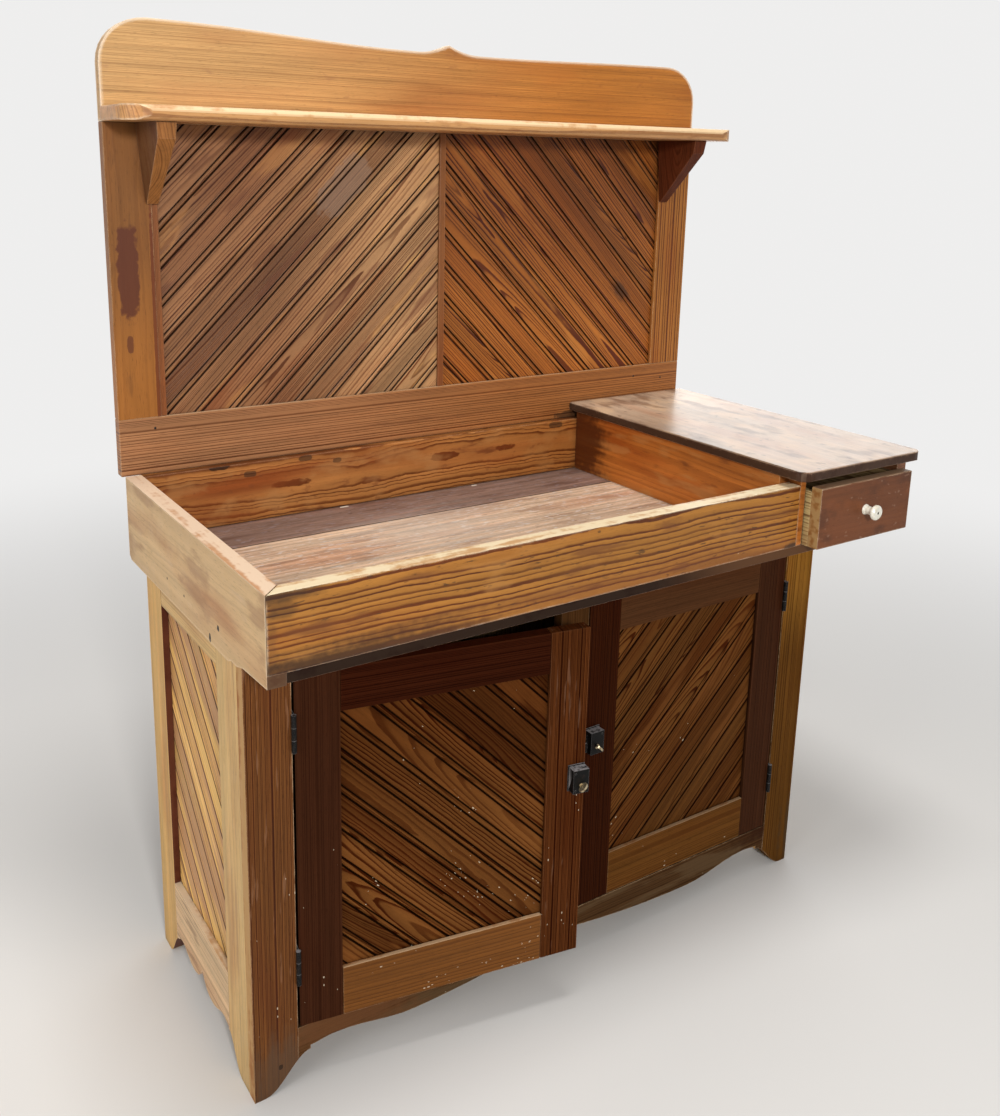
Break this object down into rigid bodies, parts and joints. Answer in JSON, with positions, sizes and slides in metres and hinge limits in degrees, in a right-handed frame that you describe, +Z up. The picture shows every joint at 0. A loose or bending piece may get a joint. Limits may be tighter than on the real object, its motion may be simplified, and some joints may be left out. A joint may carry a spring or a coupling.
{
  "type": "dry sink cabinet",
  "caption": "Pine dry sink: panelled cabinet base, open tray, small drawer case, and a tall backsplash with a shelf on brackets.",
  "frame": {"origin": "middle of the bounding box's foot, on the floor", "axes": "+Z up, +Y towards the back of the cabinet, +X towards the drawer case"},
  "size_m": [1.196, 0.645, 1.495],
  "materials": {
    "amber_pine": "satin, waxed, worn edges",
    "pale_pine": "satin, worn",
    "red_pine": "satin, waxed",
    "dark_pine": "satin, dark stained",
    "crest_pine": "satin, waxed",
    "weathered_pine": "dull, weathered",
    "raw_pine": "dull, unfinished",
    "back_pine": "dull, unfinished",
    "black_iron": "black, worn",
    "brass": "dull",
    "white_ceramic": "gloss"
  },
  "bodies": {
    "cabinet": {"face_stile_left": "red_pine", "face_stile_right": "pale_pine", "face_stile_centre": "dark_pine", "face_top_rail": "dark_pine", "face_apron": "amber_pine", "side_left_front_stile": "pale_pine", "side_left_rear_stile": "pale_pine", "side_left_top_rail": "pale_pine", "side_left_apron": "pale_pine", "side_left_panel": "pale_pine", "side_right": "pale_pine", "back_boards": "back_pine", "base_floor": "back_pine", "tray_side_board": "pale_pine", "tray_front_board": "amber_pine", "tray_back_board": "amber_pine", "tray_floor": "weathered_pine", "tray_divider": "amber_pine", "case_side": "dark_pine", "case_top": "dark_pine", "splash_bottom_rail": "amber_pine", "splash_crest": "crest_pine", "splash_stile_left": "crest_pine", "splash_strip_left": "crest_pine", "splash_stile_right": "amber_pine", "splash_strip_centre": "red_pine", "splash_panel_left": "amber_pine", "splash_panel_right": "amber_pine", "shelf": "amber_pine", "shelf_bracket_left": "amber_pine", "shelf_bracket_right": "dark_pine", "left_upper_hinge_frame_leaf": "black_iron", "left_lower_hinge_frame_leaf": "black_iron", "right_upper_hinge_frame_leaf": "black_iron", "right_lower_hinge_frame_leaf": "black_iron", "catch_keeper": "black_iron"},
    "left_door": {"left_door_hinge_stile": "red_pine", "left_door_latch_stile": "red_pine", "left_door_top_rail": "red_pine", "left_door_bottom_rail": "amber_pine", "left_door_panel": "red_pine", "left_upper_hinge_door_leaf": "black_iron", "left_lower_hinge_door_leaf": "black_iron", "left_catch_case": "black_iron"},
    "left_catch": {"left_catch_turn": "brass"},
    "right_door": {"right_door_hinge_stile": "dark_pine", "right_door_latch_stile": "dark_pine", "right_door_top_rail": "dark_pine", "right_door_bottom_rail": "amber_pine", "right_door_panel": "red_pine", "right_upper_hinge_door_leaf": "black_iron", "right_lower_hinge_door_leaf": "black_iron", "right_catch_case": "black_iron"},
    "right_catch": {"right_catch_turn": "brass"},
    "drawer": {"drawer_front": "red_pine", "drawer_side_left": "raw_pine", "drawer_side_right": "raw_pine", "drawer_back": "raw_pine", "drawer_bottom": "raw_pine", "drawer_knob": "white_ceramic"}
  },
  "joints": [
    {"name": "left_door_swing", "type": "hinge", "parent": "cabinet", "child": "left_door", "pos_m": [-0.5155, -0.1701, 0.367], "axis": [0, 0, -1], "range_deg": [-10.2, 154.8]},
    {"name": "right_door_swing", "type": "hinge", "parent": "cabinet", "child": "right_door", "pos_m": [0.4275, -0.1701, 0.367], "axis": [0, 0, 1], "range_deg": [0, 165]},
    {"name": "left_catch_turn", "type": "hinge", "parent": "left_door", "child": "left_catch", "pos_m": [-0.09454, -0.25875, 0.393], "axis": [0.1771, 0.9842, 0], "range_deg": [0, 90]},
    {"name": "right_catch_turn", "type": "hinge", "parent": "right_door", "child": "right_catch", "pos_m": [-0.0025, -0.1828, 0.393], "axis": [0, -1, 0], "range_deg": [0, 90]},
    {"name": "drawer_slide", "type": "slide", "parent": "cabinet", "child": "drawer", "axis": [0, -1, 0], "range_m": [-0.031, 0.33]}
  ]
}
